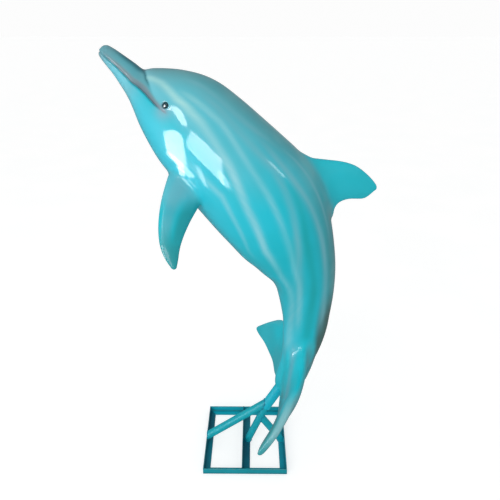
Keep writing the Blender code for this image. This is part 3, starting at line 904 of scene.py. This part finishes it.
face_spots = np.concatenate([MOUTH[::2], [EYES["left"], EYES["right"]]])
mesh = remeshed()
write_points(mesh, settle(read(mesh.vertices, "co"), 2)[0])
spread_out(mesh, 4, 0.004)
rims = np.concatenate([form.rim for form in fins])
mesh = refined(mesh, rims, 0.006)
spread_out(mesh, 2, 0.002)
mesh = refined(mesh, rims, 0.0028)
mesh = refined(mesh, np.concatenate([face_spots, CREASE]), 0.015)
mesh = refined(mesh, face_spots, 0.0085)
spread_out(mesh, 1, 0.001)
points, hit, fin = settle(read(mesh.vertices, "co"), 1)
write_points(mesh, points)
points = shaped_details(points, read(mesh.vertices, "normal"), hit, fin)
write_points(mesh, points)
add_values(mesh, paint_masks(points, hit, fin))
mesh.name = "dolphin_skin"
mesh.shade_smooth()
skin = new_object("dolphin_skin", mesh, skin_material())
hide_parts("dolphin")
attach(skin, "root")

# The eyes

eye_paint = eye_material()
for side, spot in EYES.items():
    outward = Vector(body.distance(np.array([spot]))[1][0])
    bpy.ops.mesh.primitive_uv_sphere_add(segments=48, ring_count=32, radius=EYE_RADIUS,
                                         location=Vector(spot) - outward * EYE_DEPTH)
    ball = bpy.context.active_object
    ball.rotation_euler = outward.to_track_quat("Z", "Y").to_euler()
    ball.name = ball.data.name = "eye_" + side
    ball.data.shade_smooth()
    ball.data.materials.append(eye_paint)
    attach(ball, "root")

# The stand: coped pipes, angle bars and the welds between them

HEEL, TOE, ROOT = 0.0007, 0.0017, 0.0032      # corners of a rolled angle bar's section
ARC_STEPS = 5
FLAT_PITCH, BAR_PITCH, PIPE_PITCH = 0.0036, 0.0030, 0.0032
PIPE_SIDES, BEAD_SIDES = 64, 12
UNEVEN = 0.00022                 # how far the steel's surface falls back here and there
GAP = 0.0003
FLOOR_FLANGE = ANGLE_THICKNESS + GAP
SIDE_FLANGE = FRAME_WIDTH / 2 - ANGLE_THICKNESS - GAP
SHARP_ANGLE = math.radians(40)
# A weld's bead, as shares of its radius: between rings, between drops, and their depth and waver
RING_SHARE, DROP_SHARE, DROP_DEPTH, DROP_WAVER = 0.28, 1.1, 0.20, 0.16
CORNER_BEAD, FLANGE_BEAD, MIDDLE_BEAD = 0.0016, 0.0015, 0.0019
BEAD_SINK, BEAD_INSET, BEAD_BEND = 0.0004, 0.0012, 0.001
BEAD_SKEW = (0.31, 0.17, 0.93)   # a way that no bead runs


def uneven(point):
    return UNEVEN * (0.5 + 0.5 * noise.noise(Vector(point) * 90.0))


def loft(name, rings, paint, ends=True):
    """A piece of the stand through rings of points."""
    mesh = mesh_of(name, np.concatenate(rings), tube_faces(len(rings), len(rings[0]), ends))
    form = bmesh.new()
    form.from_mesh(mesh)
    bmesh.ops.recalc_face_normals(form, faces=form.faces)
    form.to_mesh(mesh)
    form.free()
    mesh.set_sharp_from_angle(angle=SHARP_ANGLE)
    piece = new_object(name, mesh, paints[paint])
    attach(piece, "root")
    return piece


def rounded_outline(corners):
    """A right-angled outline with an arc at each corner and points along its flats."""
    outline = []
    for i, (x, z, radius) in enumerate(corners):
        corner = np.array((x, z))
        before = np.array(corners[i - 1][:2]) - corner
        after = np.array(corners[(i + 1) % len(corners)][:2]) - corner
        a, b = before / np.linalg.norm(before), after / np.linalg.norm(after)
        for turn in np.linspace(0, math.pi / 2, ARC_STEPS):
            outline.append(corner + radius * ((a + b) - b * math.cos(turn) - a * math.sin(turn)))
        flat_end = corner + after - b * corners[(i + 1) % len(corners)][2]
        flat = flat_end - outline[-1]
        pieces = max(1, round(np.linalg.norm(flat) / FLAT_PITCH))
        outline += [outline[-1] + flat * k / pieces for k in range(1, pieces)]
    return outline


def angle_outline(leg):
    t = ANGLE_THICKNESS
    return rounded_outline(((0, 0, HEEL), (leg, 0, HEEL), (leg, t, TOE), (t, t, ROOT), (t, leg, TOE),
                            (0, leg, HEEL)))


def bar_rings(outline, spot, turn, near, far):
    """Rings of a bar between two ends, each given as a place for every distance inwards."""
    turned = Quaternion((0, 0, 1), turn)
    count = max(2, round(abs(far(0) - near(0)) / BAR_PITCH))
    rings = []
    for i in range(count + 1):
        share, ring = i / count, []
        for inward, up in outline:
            along = near(inward) + (far(inward) - near(inward)) * share
            point = Vector(spot) + turned @ Vector((along, inward, up))
            if up > HEEL:
                upright = inward <= ANGLE_THICKNESS + ROOT and up > ANGLE_THICKNESS + ROOT
                outer = inward < ANGLE_THICKNESS / 2
                side = (0, 1 if outer else -1, 0) if upright else (0, 0, -1)
                point += turned @ Vector(side) * uneven(point)
            ring.append(point)
        rings.append(ring)
    return rings


def bar(name, leg, length, spot, turn, paint, mitred=True):
    def end(way):
        return lambda inward: way * (length / 2 - (inward if mitred else 0))
    outline = angle_outline(leg)
    rings = bar_rings(outline, spot, turn, end(-1), end(1))
    piece = loft("bar_" + name, rings, paint)
    # The edge mask marks the toes, pale from wear and from a painted highlight
    worn_and_lit_toes = [max(step(leg - 0.004, leg - 0.001, up), 0.6 * step(leg - 0.003, leg, inward))
            for inward, up in outline]
    # The root mask marks the inner corner, where painted shade goes
    corner_shades = [math.exp(-((inward - ANGLE_THICKNESS) ** 2 + (up - ANGLE_THICKNESS) ** 2) / 0.004 ** 2)
             for inward, up in outline]
    add_values(piece.data, {"edge": np.tile(worn_and_lit_toes, len(rings)), "root": np.tile(corner_shades, len(rings))})
    node = "base_angle_" + name
    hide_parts(node)


def flat_stop(point, normal):
    """Distance along a line to a plane."""
    def reach(start, way):
        fall = way.dot(normal)
        gap = (point - start).dot(normal)
        return gap / fall if abs(fall) > 1e-9 and gap / fall > 0 else math.inf
    return reach


def round_stop(foot, along, radius, endless=False):
    """Distance along a line to a round bar that starts at its foot."""
    def reach(start, way):
        off, run = start - foot, way - along * way.dot(along)
        flat = off - along * off.dot(along)
        a, b, c = run.dot(run), 2 * flat.dot(run), flat.dot(flat) - radius ** 2
        found = []
        inside = b * b - 4 * a * c
        if a > 1e-9 and inside > 0:
            side = (-b - math.sqrt(inside)) / (2 * a)
            if side > 0 and (endless or (off + way * side).dot(along) >= 0):
                found.append(side)
        level = flat_stop(foot, along)(start, way)
        if not endless and level < math.inf and (start + way * level - foot).length <= radius:
            found.append(level)
        return min(found, default=math.inf)
    return reach


def pipe(name, node, start, end, diameter, foot_stops, top_stops, paint="strut paint"):
    """A round bar cut at both ends to what it meets. Gives the outlines of its ends too."""
    along = (end - start).normalized()
    across = Vector((0, 1, 0))
    other = along.cross(across)
    middle = (start + end) / 2
    half = (end - start).length / 2
    feet, tops = [], []
    for k in range(PIPE_SIDES):
        turn = 2 * math.pi * k / PIPE_SIDES
        edge = middle + (across * math.cos(turn) + other * math.sin(turn)) * diameter / 2
        down = min([stop(edge, -along) for stop in foot_stops] + [half * 1.6])
        up = min([stop(edge, along) for stop in top_stops] + [half * 1.3])
        feet.append(edge - along * down)
        tops.append(edge + along * up)
    count = max(2, round(2 * half / PIPE_PITCH))
    rings = []
    for i in range(count + 1):
        ring = []
        for foot, top in zip(feet, tops):
            point = foot + (top - foot) * i / count
            axis = middle + along * (point - middle).dot(along)
            ring.append(point - (point - axis).normalized() * uneven(point))
        rings.append(ring)
    piece = loft(name, rings, paint)
    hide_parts(node)
    return feet, tops


def bead(name, route, radius, paint="weld paint", closed=True):
    """A weld: a run of overlapping drops along a route."""
    route = np.array(list(route) + [route[0]] * closed)
    along, pitch = distances(route), radius * RING_SHARE
    count = max(8, round(along[-1] / pitch))
    goals = np.linspace(0, along[-1], count + 1)[:count if closed else None]
    spots = looked_up(goals, along, route)
    ways = np.gradient(spots, axis=0)
    if closed:
        for _ in range(3):
            spots = (np.roll(spots, 1, 0) + spots * 2 + np.roll(spots, -1, 0)) / 4
        ways = np.roll(spots, -1, 0) - np.roll(spots, 1, 0)
    ways = units(ways)
    across = units(np.cross(ways, BEAD_SKEW))
    other = np.cross(ways, across)
    number = np.arange(len(spots))
    drop = 1 - DROP_DEPTH * (0.5 + 0.5 * np.cos(2 * math.pi * number * pitch / (radius * DROP_SHARE)))
    waver = np.array([noise.noise(Vector(spot) * 260) for spot in spots])
    size = radius * drop * (1 + DROP_WAVER * waver)
    if not closed:
        size *= np.sqrt(np.maximum(0.04, 1 - (2 * number / (len(spots) - 1) - 1) ** 8))
    turn = np.arange(BEAD_SIDES)[:, None] * 2 * math.pi / BEAD_SIDES
    rings = across[:, None] * np.cos(turn) + other[:, None] * np.sin(turn)
    loft(name, spots[:, None] + rings * size[:, None, None], paint, ends=not closed)


def frame_bead(name, route, radius):
    bead(name, route, radius, "shaded frame paint", closed=False)


def make_frame():
    wide, deep = FRAME_WIDTH / 2, FRAME_DEPTH / 2
    # Each bar takes the lit or the shaded copy of the frame's teal, by how light falls on it
    bar("front", ANGLE_LEG, FRAME_WIDTH, (0, -deep, 0), 0.0, "frame paint")
    bar("right", ANGLE_LEG, FRAME_DEPTH, (wide, 0, 0), math.pi / 2, "lit right frame paint")
    bar("rear", ANGLE_LEG, FRAME_WIDTH, (0, deep, 0), math.pi, "lit rear frame paint")
    bar("left", ANGLE_LEG, FRAME_DEPTH, (-wide, 0, 0), -math.pi / 2, "shaded frame paint")
    heel = MIDDLE_BAR_OFFSET - MIDDLE_LEG / 2
    flange = heel + ANGLE_THICKNESS
    clear = FRAME_DEPTH - 2 * (ANGLE_LEG + GAP)
    bar("middle", MIDDLE_LEG, clear, (heel, 0, 0), -math.pi / 2, "shaded frame paint", mitred=False)
    inner, low = deep - ANGLE_THICKNESS - GAP, ANGLE_THICKNESS - BEAD_SINK
    tab = rounded_outline(((0, FLOOR_FLANGE, HEEL), (ANGLE_THICKNESS, FLOOR_FLANGE, HEEL),
                           (ANGLE_THICKNESS, MIDDLE_LEG, TOE), (0, MIDDLE_LEG, HEEL)))
    for name, side in (("front", 1), ("rear", -1)):
        rings = bar_rings(tab, (heel, 0, 0), -math.pi / 2, lambda _: side * clear / 2,
                          lambda _: side * inner)
        loft("bar_middle_tab_" + name, rings, "shaded frame paint")
        y = -side * inner
        route = [(flange, y, FLOOR_FLANGE), (flange, y, ANGLE_LEG - TOE)]
        frame_bead("weld_middle_" + name, route, MIDDLE_BEAD)
        y = -side * (clear / 2 + GAP / 2)
        route = [(flange + ROOT, y, low), (heel + MIDDLE_LEG - TOE, y, low)]
        frame_bead("weld_flange_" + name, route, FLANGE_BEAD)
    start = ANGLE_THICKNESS + BEAD_SINK
    bends = ((start, ANGLE_LEG - TOE), (start, start + BEAD_BEND),
             (start + BEAD_BEND, start - BEAD_BEND), (ANGLE_LEG - BEAD_INSET, start - BEAD_BEND))
    for number, (x, y) in enumerate(((-1, -1), (1, -1), (1, 1), (-1, 1)), 1):
        corner, inward = Vector((x * wide, y * deep, 0)), Vector((-x, -y, 0))
        route = [corner + inward * away + Vector((0, 0, height)) for away, height in bends]
        frame_bead("weld_corner_%d" % number, route, CORNER_BEAD)


def strut(name, foot, top, diameter, foot_stops, top_stops, foot_bead, top_bead):
    """A strut with its two welds."""
    feet, tops = pipe("strut_" + name, "support_rod_" + name, foot, top, diameter, foot_stops, top_stops)
    bead("weld_strut_%s_foot" % name, feet, foot_bead)
    bead("weld_strut_%s_top" % name, tops, top_bead)


def make_post_and_struts():
    foot, entry, along = post_points()
    top = entry + along * SOCKET_DEPTH
    pipe("post", "tail_post", foot, top, POST_DIAMETER, [flat_stop(foot, along)],
         [flat_stop(top, along)], "post paint")
    post_stop = round_stop(foot - along * GAP, along, POST_DIAMETER / 2 + GAP)
    floor = flat_stop(Vector((0, 0, FLOOR_FLANGE)), Vector((0, 0, 1)))
    sideways = Vector((1, 0, 0))

    middle_foot = Vector((MIDDLE_FOOT_OFFSET, 0, ANGLE_THICKNESS))
    lean = (foot - middle_foot).normalized()
    middle_stop = round_stop(middle_foot, lean, STRUT_DIAMETER / 2 + GAP, endless=True)
    strut("middle", middle_foot, foot, STRUT_DIAMETER, [floor], [flat_stop(foot - along * GAP, along)],
          0.0021, 0.0022)

    left_foot = Vector((-SIDE_FLANGE, 0, LEFT_FOOT_HEIGHT))
    left_top = foot + along * LEFT_STRUT_RISE / along.z
    strut("left", left_foot, left_top, LEFT_STRUT_DIAMETER, [floor, flat_stop(left_foot, sideways)],
          [post_stop, middle_stop], 0.0022, 0.0024)

    right_foot = Vector((FRAME_WIDTH / 2 - RIGHT_FOOT_INSET, 0, ANGLE_THICKNESS))
    right_top = foot - lean * RIGHT_STRUT_DROP / lean.z
    strut("right", right_foot, right_top, STRUT_DIAMETER,
          [floor, flat_stop(Vector((SIDE_FLANGE, 0, 0)), sideways)], [middle_stop], 0.0021, 0.0022)


paints = {name: metal_paint(name, *tones) for name, tones in METAL_PAINTS.items()}
make_frame()
make_post_and_struts()


# Floor, light and camera

def add_lamp(name, near, azimuth, elevation, width, height, bright, reach=2.4, roll=0.0, shades=False,
             shines=True, rounded=False):
    """A soft box seen from a spot on the object at an azimuth (0 is -Y, 90 is +X) and elevation."""
    az, el = math.radians(azimuth), math.radians(elevation)
    away = Vector((math.sin(az) * math.cos(el), -math.cos(az) * math.cos(el), math.sin(el)))
    lamp = bpy.data.lights.new(name, "AREA")
    lamp.shape = "ELLIPSE" if rounded else "RECTANGLE"
    lamp.size, lamp.size_y = width, height
    lamp.energy = bright * width * height * math.pi
    made = new_object(name, lamp)
    made.location = Vector(near) + away * reach
    turned = (-away).to_track_quat("-Z", "Y") @ Quaternion((0, 0, 1), math.radians(roll))
    made.rotation_euler = turned.to_euler()
    made.visible_camera = False
    made.visible_diffuse = shades
    made.visible_glossy = shines


def make_floor():
    bpy.ops.mesh.primitive_plane_add(size=400)
    floor = bpy.context.active_object
    floor.name = "floor"
    floor.visible_diffuse = floor.visible_glossy = False
    n = Nodes(bpy.data.materials.new("pale floor"))
    tone = n.mix(n.range(n.noise(2.0, 2.0), 0.4, 0.6), colour(0.52, 0.53, 0.53), colour(0.54, 0.54, 0.54))
    floor.data.materials.append(n.painted({
        "Base Color": tone, "Roughness": 0.9, "Specular IOR Level": 0.1,
        "Emission Color": (1, 1, 1, 1), "Emission Strength": 0.62}))


WALL_LIGHT, CEILING_LIGHT, FLOOR_LIGHT = 0.98, 0.62, 0.50
DIFFUSE_GAIN, GLOSSY_GAIN = 1.12, 0.36    # the room's light on the paint, and in its gloss
# The room from straight down to straight up, 0 to 1, with the horizon at a half
ROOM = ((0.0, FLOOR_LIGHT), (0.470, FLOOR_LIGHT), (0.490, WALL_LIGHT), (0.53, WALL_LIGHT),
        (0.60, CEILING_LIGHT), (1.0, CEILING_LIGHT))


def make_world():
    """A pale wall all round, a dimmer ceiling and the dim light that comes up from the floor."""
    world = bpy.data.worlds.new("studio")
    n = Nodes(world)
    height = n.add("ShaderNodeSeparateXYZ", {0: n.place("Generated")}).outputs["Z"]
    ramp = n.add("ShaderNodeValToRGB", {"Fac": n.range(height, -1.0, 1.0)})
    stops = ramp.color_ramp.elements
    for spot, light in ROOM[1:-1]:
        stops.new(spot)
    for stop, (spot, light) in zip(stops, ROOM):
        stop.position, stop.color = spot, colour(light, light, light)
    ray = n.add("ShaderNodeLightPath").outputs
    gain = n.math("ADD", n.times(ray["Is Diffuse Ray"], DIFFUSE_GAIN - 1), 1.0)
    gain = n.math("ADD", n.times(ray["Is Glossy Ray"], GLOSSY_GAIN - 1), gain)
    n.fill(n.tree.nodes["Background"], {"Color": ramp.outputs["Color"], "Strength": gain})
    bpy.context.scene.world = world


make_floor()
make_world()
NECK, FLIPPER, TAIL = (-0.105, -0.13, 1.18), (-0.186, -0.135, 1.067), (0.196, -0.054, 0.485)
THROAT, BELOW_THROAT, FACE = (-0.18, -0.115, 1.18), (-0.18, -0.110, 1.14), (-0.165, -0.11, 1.27)
MIDDLE = (0, 0, 0.9)
# Azimuth, elevation, width, height and brightness come after the name and the spot that is lit
add_lamp("key", MIDDLE, -30, 10, 1.6, 1.6, 2.9, reach=2.6, shades=True, shines=False)
add_lamp("door", NECK, -16.5, -4, 0.80, 1.20, 12, roll=-34)
add_lamp("claw", NECK, -42, -29, 0.20, 0.85, 6.5, roll=-36, rounded=True)
add_lamp("claw_right", NECK, -13, -16, 0.20, 0.50, 8, roll=-34, rounded=True)
add_lamp("low_left", THROAT, -50.5, -18, 0.48, 1.9, 14.5, reach=1.7, roll=-48, rounded=True)
add_lamp("low_mid", BELOW_THROAT, -70, -33.5, 0.75, 0.26, 9, reach=1.7, rounded=True)
add_lamp("high_left", FACE, -21, 22, 0.42, 0.90, 12, rounded=True)
add_lamp("high_front", FLIPPER, 24, 47, 0.15, 0.15, 3)
add_lamp("right", TAIL, 52, 42, 0.14, 0.34, 7)

# The camera is solved from the photo of the frame's corners
lens = bpy.data.cameras.new("camera")
lens.sensor_width = 36
lens.lens = 32.46
camera = new_object("camera", lens)
camera.location = (0.0271, -1.2768, 1.448)
camera.rotation_euler = (math.radians(64.25), 0, math.radians(0.45))
bpy.context.scene.camera = camera
bpy.context.scene.view_settings.view_transform = "Standard"
